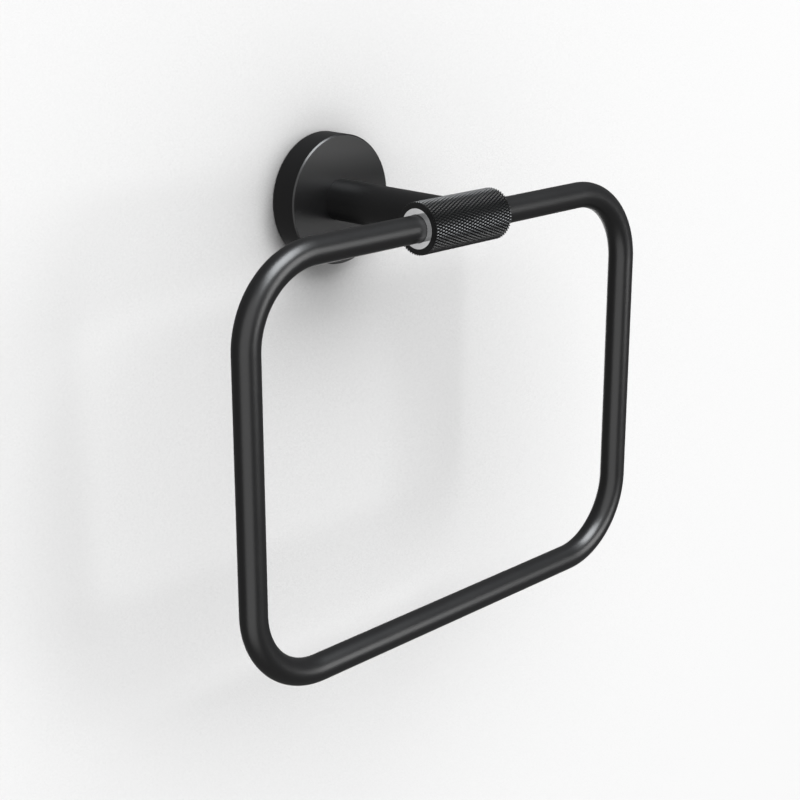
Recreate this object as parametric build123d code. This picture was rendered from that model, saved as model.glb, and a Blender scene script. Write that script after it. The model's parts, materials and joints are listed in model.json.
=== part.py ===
from build123d import *
from math import cos, pi, sin
import os

# A towel ring for a wall. A round bar, bent to a rounded rectangle, swings in two bushes inside a
# knurled sleeve. A round post carries the sleeve out from a rosette, which hides the wall bracket.
# Millimetres. The wall is the plane y = 0, the front faces -Y, +Z is up and +X runs along the pivot.

# Ring
ring_width = 200.0  # between the centrelines of the two uprights
ring_height = 152.0  # from the pivot axis down to the centreline of the bottom run
ring_corner_radius = 30.0  # of the bar's centreline
bar_diameter = 10.0
bar_end_chamfer = 0.6
bar_end_gap = 0.5  # from each end of the bar to the solid middle of the sleeve

# Bushes
bush_wall = 2.2
bush_running_clearance = 0.05  # radial, between bar and bush
bush_press_clearance = 0.02  # radial, between bush and sleeve
bush_lead_in = 0.1  # chamfer at the mouth of the bore

# Sleeve and its diamond knurl
sleeve_length = 40.0
sleeve_wall = 1.65  # from the bush seat to the roots of the knurl
sleeve_middle = 18.0  # length left solid between the two bush seats
knurl_depth = 0.7
knurl_start_count = 51  # grooves of each hand, around the sleeve
knurl_pitch = 2.73  # from one diamond to the next along the sleeve

# Post
projection = 70.0  # from the wall to the pivot axis
post_diameter = 16.0
saddle_clearance = 0.05  # between the post's hollowed end and the crests of the knurl

# Rosette
rosette_diameter = 50.0
rosette_depth = 11.0
rosette_wall = 3.0
rosette_face = 3.0
rosette_edge_chamfer = 0.5

# Wall bracket
bracket_fit_clearance = 0.2  # radial, between bracket and rosette
bracket_headroom = 1.5  # from the bracket's rim to the inside of the rosette's face
bracket_web = 2.5
bracket_rim_wall = 3.0
bracket_inner_fillet = 1.0
bracket_hole_clearance = 1.5  # radial, round the tie screw's washer
slot_spacing = 28.0
slot_length = 8.0
slot_width = 4.5
groove_depth = 1.5  # of the V groove that the grub screw bites into

# Grub screw
grub_diameter = 4.0
grub_recess = 0.2  # below the rosette's outer surface
grub_tip_diameter = 1.0
grub_hex = 2.0
grub_hex_depth = 1.6
grub_seat_clearance = 0.03

# Tie screw and washer
screw_diameter = 6.0
screw_head_diameter = 10.5
screw_head_height = 3.3
screw_crown_share = 0.7  # of the head's height that its crown rounds off
screw_hex = 4.0
screw_hex_depth = 2.0
screw_tip_chamfer = 0.8
screw_hole_clearance = 0.25  # radial, in the rosette, post and washer
thread_clearance = 0.05  # radial, between a screw and its threaded hole
thread_engagement = 11.6  # length of screw inside the sleeve
thread_runout = 2.0  # threaded hole past the screw's tip
washer_diameter = 12.0
washer_thickness = 1.0

# Sizes worked out from the driving dimensions
bar_radius = bar_diameter / 2
bush_bore_radius = bar_radius + bush_running_clearance
bush_radius = bush_bore_radius + bush_wall
bush_seat_radius = bush_radius + bush_press_clearance
knurl_root_radius = bush_seat_radius + sleeve_wall
knurl_crest_radius = knurl_root_radius + knurl_depth
rosette_radius = rosette_diameter / 2
rosette_inner_radius = rosette_radius - rosette_wall
rosette_cavity = rosette_depth - rosette_face
bracket_radius = rosette_inner_radius - bracket_fit_clearance
bracket_depth = rosette_cavity - bracket_headroom
bracket_hole_radius = washer_diameter / 2 + bracket_hole_clearance
grub_distance = bracket_depth / 2
screw_hole_radius = screw_diameter / 2 + screw_hole_clearance
screw_head_distance = rosette_cavity - washer_thickness
sleeve_back_distance = projection - knurl_crest_radius
screw_tip_distance = sleeve_back_distance + thread_engagement


def from_wall(distance):
    """A plane parallel to the wall, facing the front, at a distance from it."""
    return Plane.XZ.offset(distance)


def disc(radius, start, end):
    """A round disc or rod square to the wall, between two distances from it."""
    return extrude(from_wall(start) * Circle(radius), amount=end - start)


def along_pivot(radius, start, end):
    """A round rod along the pivot axis, between two places in x."""
    section = Plane.YZ.offset(start) * Pos(-projection, 0) * Circle(radius)
    return extrude(section, amount=end - start)


def hex_socket(plane, across_flats, depth):
    """A hexagon socket that runs from a plane along its normal."""
    return extrude(plane * RegularPolygon(across_flats / 2, 6, major_radius=False), amount=depth)


def make_ring():
    """One bar, bent round four corners, with its ends facing each other inside the sleeve."""
    half = ring_width / 2
    end = sleeve_middle / 2 + bar_end_gap
    corners = [(end, 0), (half, 0), (half, -ring_height), (-half, -ring_height), (-half, 0), (-end, 0)]
    path = from_wall(projection) * FilletPolyline(*corners, radius=ring_corner_radius)
    section = Plane(origin=path @ 0, z_dir=path % 0) * Circle(bar_radius)
    bar = sweep(section, path=path)
    tips = bar.faces().filter_by(Axis.X)
    return chamfer(tips.edges(), bar_end_chamfer)


def make_bush(side):
    """A plain bearing bush, seated on the sleeve's solid middle and flush with the sleeve's end."""
    inner = sleeve_middle / 2
    outer = sleeve_length / 2
    bush = along_pivot(bush_radius, inner, outer) - along_pivot(bush_bore_radius, inner, outer)
    mouth = bush.edges().group_by(Axis.X)[-1].sort_by(SortBy.RADIUS)[0]
    bush = chamfer(mouth, bush_lead_in)
    return bush if side > 0 else mirror(bush, about=Plane.YZ)


def around_sleeve(x, radius, column):
    """A corner of the knurl's grid, at a place along the sleeve and a step around it."""
    angle = pi * column / knurl_start_count
    return Vector(x, radius * cos(angle) - projection, radius * sin(angle))


def knurl_faces():
    """Diamond pyramids all round the sleeve, four facets each, cut off square at both ends."""
    columns = 2 * knurl_start_count
    steps = round(2 * sleeve_length / knurl_pitch)
    radii = [knurl_crest_radius, knurl_root_radius]
    grid = []
    for step in range(steps + 1):
        x = sleeve_length * (step / steps - 0.5)
        grid.append([around_sleeve(x, radii[(step + c) % 2], c) for c in range(columns)])
    faces = [Face(Wire.make_polygon(grid[0])), Face(Wire.make_polygon(grid[-1]))]
    for step, (near, far) in enumerate(zip(grid, grid[1:])):
        for column in range(columns):
            after = (column + 1) % columns
            corners = [near[column], far[column], far[after], near[after]]
            # each cell is split from root to root, so that the groove bottoms are its creases
            first = (step + column + 1) % 2
            turned = corners[first:] + corners[:first]
            faces.append(Face(Wire.make_polygon([turned[0], turned[1], turned[2]])))
            faces.append(Face(Wire.make_polygon([turned[2], turned[3], turned[0]])))
    return faces


def make_sleeve():
    """The knurled bar, bored from both ends for the bushes and from behind for the tie screw."""
    sleeve = Solid(Shell(knurl_faces()))
    inner = sleeve_middle / 2
    outer = sleeve_length / 2
    sleeve -= along_pivot(bush_seat_radius, inner, outer)
    sleeve -= along_pivot(bush_seat_radius, -outer, -inner)
    thread_radius = screw_diameter / 2 + thread_clearance
    thread_end = screw_tip_distance + thread_runout
    sleeve -= disc(thread_radius, sleeve_back_distance - saddle_clearance, thread_end)
    return sleeve


def make_post():
    """A turned rod, drilled for the tie screw, with its front end hollowed to sit on the sleeve."""
    post = disc(post_diameter / 2, rosette_depth, projection)
    post -= disc(screw_hole_radius, rosette_depth, projection)
    saddle_radius = knurl_crest_radius + saddle_clearance
    return post - along_pivot(saddle_radius, -post_diameter, post_diameter)


def make_rosette():
    """A turned cup over the bracket, with a hole for the tie screw and a threaded hole underneath."""
    rosette = disc(rosette_radius, 0, rosette_depth)
    rosette -= disc(rosette_inner_radius, 0, rosette_cavity)
    front = rosette.edges().group_by(Axis.Y)[0]
    rosette = chamfer(front, rosette_edge_chamfer)
    rosette -= disc(screw_hole_radius, rosette_cavity, rosette_depth)
    below = Plane(origin=(0, -grub_distance, -rosette_radius), z_dir=(0, 0, 1))
    thread_radius = grub_diameter / 2 + thread_clearance
    return rosette - extrude(below * Circle(thread_radius), amount=rosette_wall + grub_diameter / 2)


def make_bracket():
    """A cast dish with two slots for wall screws and a V groove round its rim for the grub screw."""
    bracket = disc(bracket_radius, 0, bracket_depth)
    bracket -= disc(bracket_radius - bracket_rim_wall, bracket_web, bracket_depth)
    floor = bracket.faces().filter_by(Axis.Y).sort_by(Axis.Y)[1]
    bracket = fillet(floor.edges(), min(bracket_inner_fillet, bracket_depth - bracket_web))
    bracket -= disc(bracket_hole_radius, 0, bracket_depth)
    for side in (-1, 1):
        slot = from_wall(0) * Pos(side * slot_spacing / 2, 0) * SlotOverall(slot_length, slot_width)
        bracket -= extrude(slot, amount=bracket_depth)
    bottom = (bracket_radius - groove_depth, -grub_distance)
    back = (bracket_radius, groove_depth - grub_distance)
    front = (bracket_radius, -groove_depth - grub_distance)
    return bracket - revolve(make_face(Polyline(bottom, back, front, close=True)), Axis.Y)


def make_grub_screw():
    """A socket set screw, pointing up, with its cone in the bracket's groove."""
    radius = grub_diameter / 2
    tip_radius = grub_tip_diameter / 2
    head = rosette_radius - grub_recess
    tip = bracket_radius - groove_depth + tip_radius + grub_seat_clearance
    shoulder = tip + radius - tip_radius
    side = [(0, -head), (radius, -head), (radius, -shoulder), (tip_radius, -tip), (0, -tip)]
    outline = Polyline(*side, close=True)
    screw = revolve(make_face(from_wall(grub_distance) * outline), Axis((0, -grub_distance, 0), (0, 0, 1)))
    entry = Plane(origin=(0, -grub_distance, -head), z_dir=(0, 0, 1))
    return screw - hex_socket(entry, grub_hex, grub_hex_depth)


def make_tie_screw():
    """A button-head screw, its head inside the rosette and its tip in the sleeve."""
    head_top = screw_head_distance - screw_head_height
    head = disc(screw_head_diameter / 2, head_top, screw_head_distance)
    crown = head.edges().group_by(Axis.Y)[-1]
    head = fillet(crown, screw_crown_share * screw_head_height)
    shank = disc(screw_diameter / 2, screw_head_distance, screw_tip_distance)
    tip = shank.edges().group_by(Axis.Y)[0]
    shank = chamfer(tip, screw_tip_chamfer)
    return head + shank - hex_socket(from_wall(head_top), screw_hex, screw_hex_depth)


def make_washer():
    """A flat washer between the tie screw's head and the rosette."""
    ring = disc(washer_diameter / 2, screw_head_distance, rosette_cavity)
    return ring - disc(screw_hole_radius, screw_head_distance, rosette_cavity)


pieces = {
    "wall_bracket": make_bracket(),
    "rosette": make_rosette(),
    "rosette_grub_screw": make_grub_screw(),
    "tie_washer": make_washer(),
    "tie_screw": make_tie_screw(),
    "post": make_post(),
    "sleeve": make_sleeve(),
    "bush_left": make_bush(-1),
    "bush_right": make_bush(1),
    "ring": make_ring(),
}

os.makedirs("parts", exist_ok=True)
for name, piece in pieces.items():
    export_step(piece, f"parts/{name}.step")
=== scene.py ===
import json
import math

import bmesh
import bpy
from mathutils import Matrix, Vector


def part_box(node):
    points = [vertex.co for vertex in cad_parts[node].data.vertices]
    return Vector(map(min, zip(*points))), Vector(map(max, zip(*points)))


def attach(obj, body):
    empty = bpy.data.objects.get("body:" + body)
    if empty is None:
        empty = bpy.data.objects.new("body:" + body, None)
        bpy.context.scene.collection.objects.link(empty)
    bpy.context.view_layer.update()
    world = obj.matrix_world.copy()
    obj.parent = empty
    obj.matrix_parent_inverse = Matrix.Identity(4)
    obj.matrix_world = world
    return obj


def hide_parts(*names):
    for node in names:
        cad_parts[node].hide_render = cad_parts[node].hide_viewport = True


# A black towel ring on a pale wall.
# Metres. The wall is the plane y = 0, the front faces -Y, +Z is up and +X runs along the pivot.

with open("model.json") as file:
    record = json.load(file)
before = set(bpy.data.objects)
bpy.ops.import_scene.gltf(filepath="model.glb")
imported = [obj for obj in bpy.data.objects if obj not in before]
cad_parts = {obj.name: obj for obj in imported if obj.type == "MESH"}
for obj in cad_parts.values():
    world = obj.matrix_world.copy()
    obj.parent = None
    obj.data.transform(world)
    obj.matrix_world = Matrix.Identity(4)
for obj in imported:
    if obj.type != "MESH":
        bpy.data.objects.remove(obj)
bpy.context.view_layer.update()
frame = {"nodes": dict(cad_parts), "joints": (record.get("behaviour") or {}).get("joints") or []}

# Directions
right = Vector((1, 0, 0))
to_wall = Vector((0, 1, 0))
up = Vector((0, 0, 1))

# Sizes read from the frame
pivot = Vector(frame["joints"][0]["pos_m"])
ring_low, ring_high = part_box("ring")
bar_radius = ring_high.z - pivot.z
ring_half_width = ring_high.x - bar_radius  # to the centreline of an upright
ring_drop = pivot.z - ring_low.z - bar_radius  # from the pivot down to the centreline of the bottom run
sleeve_low, sleeve_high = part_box("sleeve")
sleeve_half_length = sleeve_high.x
knurl_crest_radius = pivot.y - sleeve_low.y
bush_inner_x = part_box("bush_right")[0].x  # where the solid middle of the sleeve ends
tie_screw_tip_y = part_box("tie_screw")[0].y

# Sizes that the boxes don't give, the same as in the solids
bend_radius = 0.030  # of the bar's centreline
bar_end_gap = 0.0005  # from each end of the bar to the solid middle of the sleeve
bar_end_chamfer = 0.0006
bush_seat_radius = 0.00727
knurl_depth = 0.0007
knurl_start_count = 51  # grooves of each hand, around the sleeve
knurl_pitch = 0.00273  # from one diamond to the next along the sleeve
tie_hole_radius = 0.00305
tie_hole_runout = 0.002  # past the tie screw's tip

# A diamond of the knurl, from its centre to its groove: share of the way out, share of the knurl's depth
knurl_profile = [(0.0, 1.0), (0.12, 0.955), (0.65, 0.54), (1.0, 0.0)]

# Fineness of the meshes
bar_sides = 96
bend_steps = 40
run_steps = 6
hole_sides = 64
grid_decimals = 3  # enough to tell places on the knurl's grid apart
merge_distance = 0.000001  # corners closer than this become one after a cut


# Mesh helpers

def new_piece(name, vertices, faces, material, smooth):
    """A mesh object from plain lists, with its normals outwards and one material."""
    mesh = bpy.data.meshes.new(name)
    mesh.from_pydata([tuple(place) for place in vertices], [], faces)
    shape = bmesh.new()
    shape.from_mesh(mesh)
    bmesh.ops.recalc_face_normals(shape, faces=shape.faces)
    for face in shape.faces:
        face.smooth = smooth
    shape.to_mesh(mesh)
    shape.free()
    mesh.materials.append(material)
    piece = bpy.data.objects.new(name, mesh)
    bpy.context.scene.collection.objects.link(piece)
    return piece


def circle(centre, first, second, radius, sides):
    """Points round a circle, starting towards the first direction and turning to the second."""
    points = []
    for side in range(sides):
        angle = 2 * math.pi * side / sides
        points.append(centre + radius * (math.cos(angle) * first + math.sin(angle) * second))
    return points


def band(near, far):
    """Quads between two closed loops of vertex numbers."""
    quads = []
    for number in range(len(near)):
        after = (number + 1) % len(near)
        quads.append((near[number], near[after], far[after], far[number]))
    return quads


def closed_tube(name, rows, material):
    """A smooth tube through rows of points, each row a closed loop, with flat ends."""
    vertices = []
    loops = []
    for row in rows:
        loops.append(range(len(vertices), len(vertices) + len(row)))
        vertices += row
    faces = [tuple(loops[0]), tuple(loops[-1])]
    for near, far in zip(loops, loops[1:]):
        faces += band(near, far)
    return new_piece(name, vertices, faces, material, True)


def cut(piece, tool):
    """Takes the tool's shape out of the piece and deletes the tool."""
    modifier = piece.modifiers.new("cut", "BOOLEAN")
    modifier.object = tool
    modifier.operation = "DIFFERENCE"
    modifier.solver = "EXACT"
    seen = piece.evaluated_get(bpy.context.evaluated_depsgraph_get())
    mesh = bpy.data.meshes.new_from_object(seen)
    shape = bmesh.new()
    shape.from_mesh(mesh)
    bmesh.ops.remove_doubles(shape, verts=shape.verts, dist=merge_distance)
    bmesh.ops.triangulate(shape, faces=shape.faces)
    shape.to_mesh(mesh)
    shape.free()
    piece.modifiers.clear()
    piece.data = mesh
    bpy.data.objects.remove(tool)


# Ring

def run_between(start, finish):
    """Places strictly between two ends of a straight run, closer together near its ends."""
    places = []
    for step in range(1, run_steps):
        share = (1 - math.cos(math.pi * step / run_steps)) / 2
        places.append((start[0].lerp(finish[0], share), start[1]))
    return places


def ring_line():
    """Places along the bar's centreline from the pivot, each with its outward direction."""
    end = bush_inner_x + bar_end_gap
    bend_x = ring_half_width - bend_radius
    bend_low = bend_radius - ring_drop
    bends = [(bend_x, -bend_radius), (bend_x, bend_low), (-bend_x, bend_low), (-bend_x, -bend_radius)]
    line = [(end * right, up)]
    for turn, (x, z) in enumerate(bends):
        arc = []
        for step in range(bend_steps + 1):
            angle = math.pi / 2 * (1 - turn - step / bend_steps)
            outward = math.cos(angle) * right + math.sin(angle) * up
            arc.append((x * right + z * up + bend_radius * outward, outward))
        line += run_between(line[-1], arc[0]) + arc
    last = (-end * right, up)
    return line + run_between(line[-1], last) + [last]


def make_ring(material):
    """The bar, swept round its four bends, with a small chamfer at both ends."""
    line = ring_line()
    first_place, first_outward = line[0]
    last_place, last_outward = line[-1]
    tip_radius = bar_radius - bar_end_chamfer
    inwards = bar_end_chamfer * right
    sections = [(first_place, first_outward, tip_radius)]
    sections.append((first_place + inwards, first_outward, bar_radius))
    sections += [(place, outward, bar_radius) for place, outward in line[1:-1]]
    sections.append((last_place - inwards, last_outward, bar_radius))
    sections.append((last_place, last_outward, tip_radius))
    rows = []
    for place, outward, radius in sections:
        rows.append(circle(pivot + place, outward, to_wall, radius, bar_sides))
    return closed_tube("ring_bar", rows, material)


# Knurled sleeve

def around_sleeve(x, radius, column):
    """A point on the sleeve, at a place along it and a step around it."""
    angle = math.pi * column / knurl_start_count
    return pivot + Vector((x, radius * math.cos(angle), radius * math.sin(angle)))


def knurl_surface():
    """Vertices and facets of the diamonds, and for each end its vertices in order round the sleeve."""
    columns = 2 * knurl_start_count
    length = 2 * sleeve_half_length
    steps = round(2 * length / knurl_pitch)
    root_radius = knurl_crest_radius - knurl_depth
    vertices = []
    faces = []
    known = {}

    def corner(step, column, height):
        """The number of the vertex at a place on the knurl's grid, which neighbours share."""
        place = (round(step, grid_decimals), round(column % columns, grid_decimals))
        if place not in known:
            known[place] = len(vertices)
            radius = root_radius + knurl_depth * height
            vertices.append(around_sleeve(length * (step / steps - 0.5), radius, column))
        return known[place]

    directions = [(1, 0), (0, 1), (-1, 0), (0, -1)]
    quarters = list(zip(directions, directions[1:] + directions[:1]))
    for step in range(steps + 1):
        # the diamonds are centred on every second place of the grid, as on a chessboard
        for column in range(step % 2, columns, 2):
            middle = corner(step, column, knurl_profile[0][1])
            for (step_one, column_one), (step_two, column_two) in quarters:
                if not (0 <= step + step_one <= steps and 0 <= step + step_two <= steps):
                    continue
                inner = (middle,)
                for share, height in knurl_profile[1:]:
                    one = corner(step + share * step_one, column + share * column_one, height)
                    two = corner(step + share * step_two, column + share * column_two, height)
                    faces.append((*inner, two, one))
                    inner = (one, two)

    rims = []
    for edge in (0, steps):
        rims.append(sorted((column, number) for (step, column), number in known.items() if step == edge))
    return vertices, faces, rims


def make_sleeve(material):
    """The knurled sleeve, open at both ends for the bushes and behind for the tie screw."""
    vertices, faces, rims = knurl_surface()
    for side, rim in zip((-1, 1), rims):
        loops = [[number for column, number in rim]]
        for x in (sleeve_half_length, bush_inner_x):
            loops.append(range(len(vertices), len(vertices) + len(rim)))
            vertices += [around_sleeve(side * x, bush_seat_radius, column) for column, number in rim]
        for near, far in zip(loops, loops[1:]):
            faces += band(near, far)
        faces.append(tuple(loops[-1]))
    sleeve = new_piece("knurled_sleeve", vertices, faces, material, False)
    cut(sleeve, tie_hole_tool())
    return sleeve


def tie_hole_tool():
    """A rod that cuts the tie screw's hole in the back of the sleeve."""
    start = pivot.y + 2 * knurl_crest_radius  # clear of the sleeve's back
    finish = tie_screw_tip_y - tie_hole_runout
    rows = [circle(y * to_wall, right, up, tie_hole_radius, hole_sides) for y in (start, finish)]
    return closed_tube("tie_hole_tool", rows, None)


# Materials

noise_low = 0.3  # the noise seldom goes below this
noise_high = 0.7  # nor above this


class Finish:
    """A material under construction: its shader, and short ways to add nodes to it."""

    def __init__(self, name, **values):
        self.material = bpy.data.materials.new(name)
        self.material.use_nodes = True
        self.tree = self.material.node_tree
        self.shader = self.tree.nodes["Principled BSDF"]
        for socket, value in values.items():
            self.shader.inputs[socket.replace("_", " ")].default_value = value
        self.place = self.tree.nodes.new("ShaderNodeTexCoord").outputs["Object"]

    def noise(self, size, detail=2.0):
        """Soft noise whose blotches are about the given size in metres, with finer layers for detail."""
        node = self.tree.nodes.new("ShaderNodeTexNoise")
        node.inputs["Scale"].default_value = 1 / size
        node.inputs["Detail"].default_value = detail
        self.tree.links.new(self.place, node.inputs["Vector"])
        return node.outputs["Fac"]

    def colours(self, pattern, dark, light):
        """Base colour that goes from dark to light with a pattern."""
        ramp = self.tree.nodes.new("ShaderNodeValToRGB")
        stops = ramp.color_ramp.elements
        for stop, position, colour in zip(stops, (noise_low, noise_high), (dark, light)):
            stop.position = position
            stop.color = (*colour, 1)
        self.tree.links.new(pattern, ramp.inputs["Fac"])
        self.tree.links.new(ramp.outputs["Color"], self.shader.inputs["Base Color"])

    def gloss(self, pattern, smooth, rough):
        """Roughness that goes from smooth to rough with a pattern."""
        node = self.tree.nodes.new("ShaderNodeMapRange")
        node.inputs["From Min"].default_value = noise_low
        node.inputs["From Max"].default_value = noise_high
        node.inputs["To Min"].default_value = smooth
        node.inputs["To Max"].default_value = rough
        self.tree.links.new(pattern, node.inputs["Value"])
        self.tree.links.new(node.outputs["Result"], self.shader.inputs["Roughness"])

    def relief(self, pattern, height):
        """Bumps of the given height in metres, added to those that are there."""
        node = self.tree.nodes.new("ShaderNodeBump")
        node.inputs["Distance"].default_value = height
        self.tree.links.new(pattern, node.inputs["Height"])
        normal = self.shader.inputs["Normal"]
        if normal.is_linked:
            self.tree.links.new(normal.links[0].from_socket, node.inputs["Normal"])
        self.tree.links.new(node.outputs["Normal"], normal)


coat_fleck_size = 0.0011
coat_gloss_patch_size = 0.018
coat_grain_sizes = (0.0010, 0.00022)
coat_grain_height = 0.000004
metal_patch_grains = 3  # size of a patch of even gloss, counted in grains


def black_coat(name, dark, light, specular, smooth, rough):
    """Satin black powder coat, with a fine grain and a slight unevenness in its gloss."""
    finish = Finish(name, Specular_IOR_Level=specular)
    finish.colours(finish.noise(coat_fleck_size), dark, light)
    finish.gloss(finish.noise(coat_gloss_patch_size, detail=4.0), smooth, rough)
    for size in coat_grain_sizes:
        finish.relief(finish.noise(size), coat_grain_height)
    return finish.material


def metal(name, metallic, dark, light, grain, smooth, rough, height):
    """Bare metal with a grain of the given size in its colour, gloss and surface."""
    finish = Finish(name, Metallic=metallic)
    finish.colours(finish.noise(grain, detail=4.0), dark, light)
    finish.gloss(finish.noise(grain * metal_patch_grains, detail=3.0), smooth, rough)
    finish.relief(finish.noise(grain), height)
    return finish.material


ring_coat = black_coat(
    "black_coat",
    dark=(0.0055, 0.0055, 0.0058),
    light=(0.0075, 0.0075, 0.0079),
    specular=0.75,
    smooth=0.325,
    rough=0.355,
)
# The rosette and post take the ring's black coat with a darker base colour: painted shade
fixture_coat_painted_shade = black_coat(
    "black_coat_painted_shade",
    dark=(0.0028, 0.0028, 0.0030),
    light=(0.0038, 0.0038, 0.0040),
    specular=0.75,
    smooth=0.325,
    rough=0.355,
)
knurl_coat = black_coat(
    "black_knurl",
    dark=(0.0039, 0.0039, 0.0041),
    light=(0.0053, 0.0053, 0.0055),
    specular=0.9,
    smooth=0.32,
    rough=0.36,
)
bush_metal = metal(
    "bush_metal",
    metallic=0.75,
    dark=(0.90, 0.90, 0.91),
    light=(0.95, 0.95, 0.96),
    grain=0.0006,
    smooth=0.06,
    rough=0.10,
    height=0.0000003,
)
cast_zinc = metal(
    "cast_zinc",
    metallic=1.0,
    dark=(0.36, 0.37, 0.39),
    light=(0.52, 0.53, 0.55),
    grain=0.0007,
    smooth=0.42,
    rough=0.58,
    height=0.00003,
)
screw_steel = metal(
    "screw_steel",
    metallic=1.0,
    dark=(0.46, 0.46, 0.47),
    light=(0.58, 0.58, 0.59),
    grain=0.0005,
    smooth=0.24,
    rough=0.36,
    height=0.000003,
)

# Pieces that stand for solids

ring = make_ring(ring_coat)
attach(ring, "swinging_ring")
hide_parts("ring")

sleeve = make_sleeve(knurl_coat)
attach(sleeve, "wall_fixture")
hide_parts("sleeve")

# Solids that keep their own shape

node_finishes = {
    "rosette": fixture_coat_painted_shade,
    "post": fixture_coat_painted_shade,
    "bush_left": bush_metal,
    "bush_right": bush_metal,
    "wall_bracket": cast_zinc,
    "rosette_grub_screw": screw_steel,
    "tie_screw": screw_steel,
    "tie_washer": screw_steel,
}
for node, finish in node_finishes.items():
    slots = frame["nodes"][node].data.materials
    slots.clear()
    slots.append(finish)

# Wall and backdrop

black = (0, 0, 0, 1)
backdrop_colour = (0.80, 0.80, 0.80, 1)
backdrop_size = 8.0
wall_colour = (0.80, 0.80, 0.80, 1)
wall_roughness = 0.9
wall_half = 1.5
wall_gap = 0.0005  # behind the rosette, so that the two never share a plane
wall_painted_shade_reach = 0.4  # how far from the object the painted shade still darkens the paint
wall_painted_shade_samples = 4


def show_to_camera_alone(stage_piece):
    """Keeps a stage piece from shading the object, lighting it or showing in its gloss."""
    stage_piece.visible_diffuse = False
    stage_piece.visible_glossy = False
    stage_piece.visible_shadow = False


def make_backdrop():
    """A plain pale box all round, for the views that look past the wall."""
    bpy.ops.mesh.primitive_cube_add(size=backdrop_size)
    backdrop = bpy.context.object
    backdrop.name = "backdrop"
    paint = Finish(
        "backdrop_paint",
        Base_Color=black,
        Specular_IOR_Level=0.0,
        Emission_Color=backdrop_colour,
        Emission_Strength=1.0,
    )
    backdrop.data.materials.append(paint.material)
    show_to_camera_alone(backdrop)
    return backdrop


def wall_paint():
    """Pale matt paint, darkened near the object by painted shade, seen from the front and clear from
    behind.
    """
    paint = Finish("wall_paint", Roughness=wall_roughness, Specular_IOR_Level=0.0)
    nodes = paint.tree.nodes
    links = paint.tree.links
    # Painted shade: the paint's colour darkens where the object hides the room around it
    shade = nodes.new("ShaderNodeAmbientOcclusion")
    shade.samples = wall_painted_shade_samples
    shade.inputs["Color"].default_value = wall_colour
    shade.inputs["Distance"].default_value = wall_painted_shade_reach
    links.new(shade.outputs["Color"], paint.shader.inputs["Base Color"])
    side = nodes.new("ShaderNodeNewGeometry")
    clear = nodes.new("ShaderNodeBsdfTransparent")
    choose = nodes.new("ShaderNodeMixShader")
    choice, front, back = choose.inputs
    links.new(side.outputs["Backfacing"], choice)
    links.new(paint.shader.outputs["BSDF"], front)
    links.new(clear.outputs["BSDF"], back)
    links.new(choose.outputs["Shader"], nodes["Material Output"].inputs["Surface"])
    return paint.material


def make_wall():
    """One flat square, facing the front."""
    low, high = -wall_half, wall_half
    corners = [(low, low), (high, low), (high, high), (low, high)]
    mesh = bpy.data.meshes.new("wall")
    mesh.from_pydata([(x, wall_gap, z) for x, z in corners], [], [(0, 1, 2, 3)])
    mesh.materials.append(wall_paint())
    wall = bpy.data.objects.new("wall", mesh)
    bpy.context.scene.collection.objects.link(wall)
    show_to_camera_alone(wall)
    return wall


wall = make_wall()
make_backdrop()

# Light

light_target = Vector((0, -0.06, -0.06))
light_distance = 20.0
white = (1.0, 1.0, 1.0)
cool_white = (0.94, 0.97, 1.0)
ambient = (0.14, 0.14, 0.14, 1)


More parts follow.
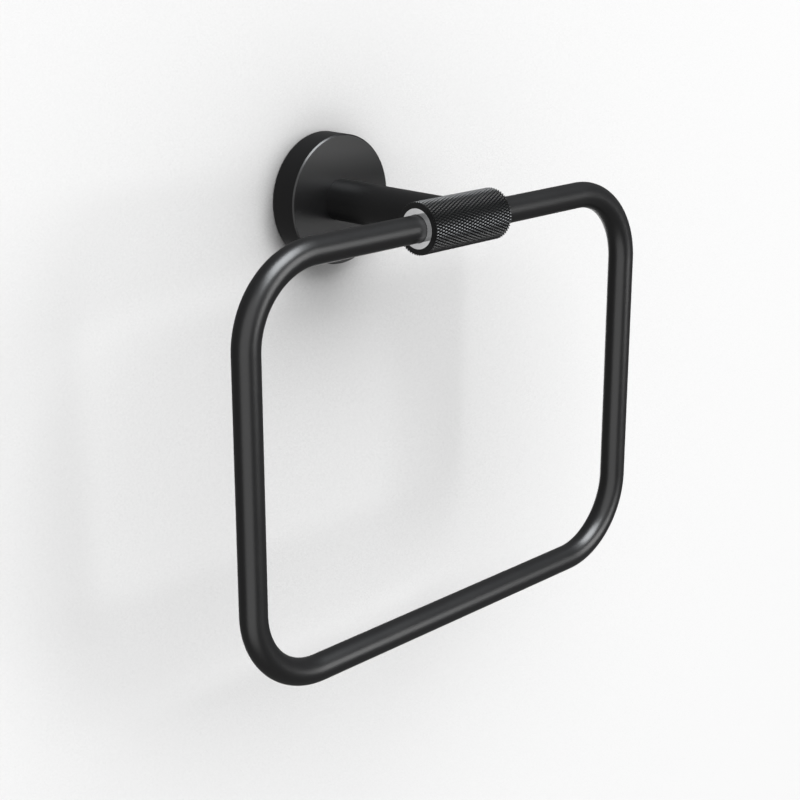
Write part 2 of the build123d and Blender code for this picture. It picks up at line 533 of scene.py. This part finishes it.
def softbox(name, azimuth, elevation, width, height, radiance, colour=white):
    """A soft lamp aimed at the object. Directions and sizes are in degrees as seen from the object."""
    turn = math.radians(azimuth)
    rise = math.radians(elevation)
    towards = Vector((math.sin(turn) * math.cos(rise), -math.cos(turn) * math.cos(rise), math.sin(rise)))
    light = bpy.data.lights.new(name, "AREA")
    light.shape = "RECTANGLE"
    light.size = 2 * light_distance * math.tan(math.radians(width / 2))
    light.size_y = 2 * light_distance * math.tan(math.radians(height / 2))
    light.energy = radiance * math.pi * light.size * light.size_y
    light.color = colour
    lamp = bpy.data.objects.new(name, light)
    lamp.location = light_target + light_distance * towards
    lamp.rotation_euler = towards.to_track_quat("Z", "Y").to_euler()
    lamp.visible_camera = False
    bpy.context.scene.collection.objects.link(lamp)
    return lamp


def link_light(lamp, pieces, choice):
    """Makes a lamp light these pieces alone, or everything but them."""
    lit = bpy.data.collections.new(lamp.name + "_lit")
    for piece in pieces:
        lit.objects.link(piece)
    for entry in lit.collection_objects:
        entry.light_linking.link_state = choice
    lamp.light_linking.receiver_collection = lit


top_softbox = softbox(
    "top_softbox",
    azimuth=2.8,
    elevation=65,
    width=38.5,
    height=42.5,
    radiance=9.8,
    colour=cool_white,
)
left_softbox = softbox("left_softbox", azimuth=-55, elevation=-2, width=67, height=93, radiance=0.95)
wall_softbox = softbox("wall_softbox", azimuth=-8, elevation=56, width=66, height=58, radiance=4.60)
softbox("front_right_softbox", azimuth=27, elevation=5, width=28, height=31, radiance=4.0)
softbox("rear_softbox", azimuth=146, elevation=-25, width=30, height=30, radiance=1.2)
bush_card = softbox("bush_card", azimuth=-133.6, elevation=-11.6, width=14, height=14, radiance=0.36)
link_light(top_softbox, [wall], "EXCLUDE")
link_light(left_softbox, [wall], "EXCLUDE")
link_light(wall_softbox, [wall], "INCLUDE")
link_light(bush_card, [frame["nodes"]["bush_left"], frame["nodes"]["bush_right"]], "INCLUDE")

world = bpy.data.worlds.new("studio")
bpy.context.scene.world = world
world.use_nodes = True
world.node_tree.nodes["Background"].inputs["Color"].default_value = ambient

# Camera

camera_place = (-0.43715, -0.46769, 0.11877)
camera_turn = -45.783  # degrees about the upright axis, from looking straight at the wall
camera_dip = 17.508  # degrees below the level
camera_lens = 74.95  # millimetres
camera_sensor = 36  # millimetres
camera_near_limit = 0.01

camera_data = bpy.data.cameras.new("camera")
camera_data.lens = camera_lens
camera_data.sensor_width = camera_sensor
camera_data.clip_start = camera_near_limit
camera = bpy.data.objects.new("camera", camera_data)
camera.location = camera_place
camera.rotation_euler = (math.radians(90 - camera_dip), 0, math.radians(camera_turn))
bpy.context.scene.collection.objects.link(camera)
bpy.context.scene.camera = camera
bpy.context.scene.view_settings.view_transform = "Standard"
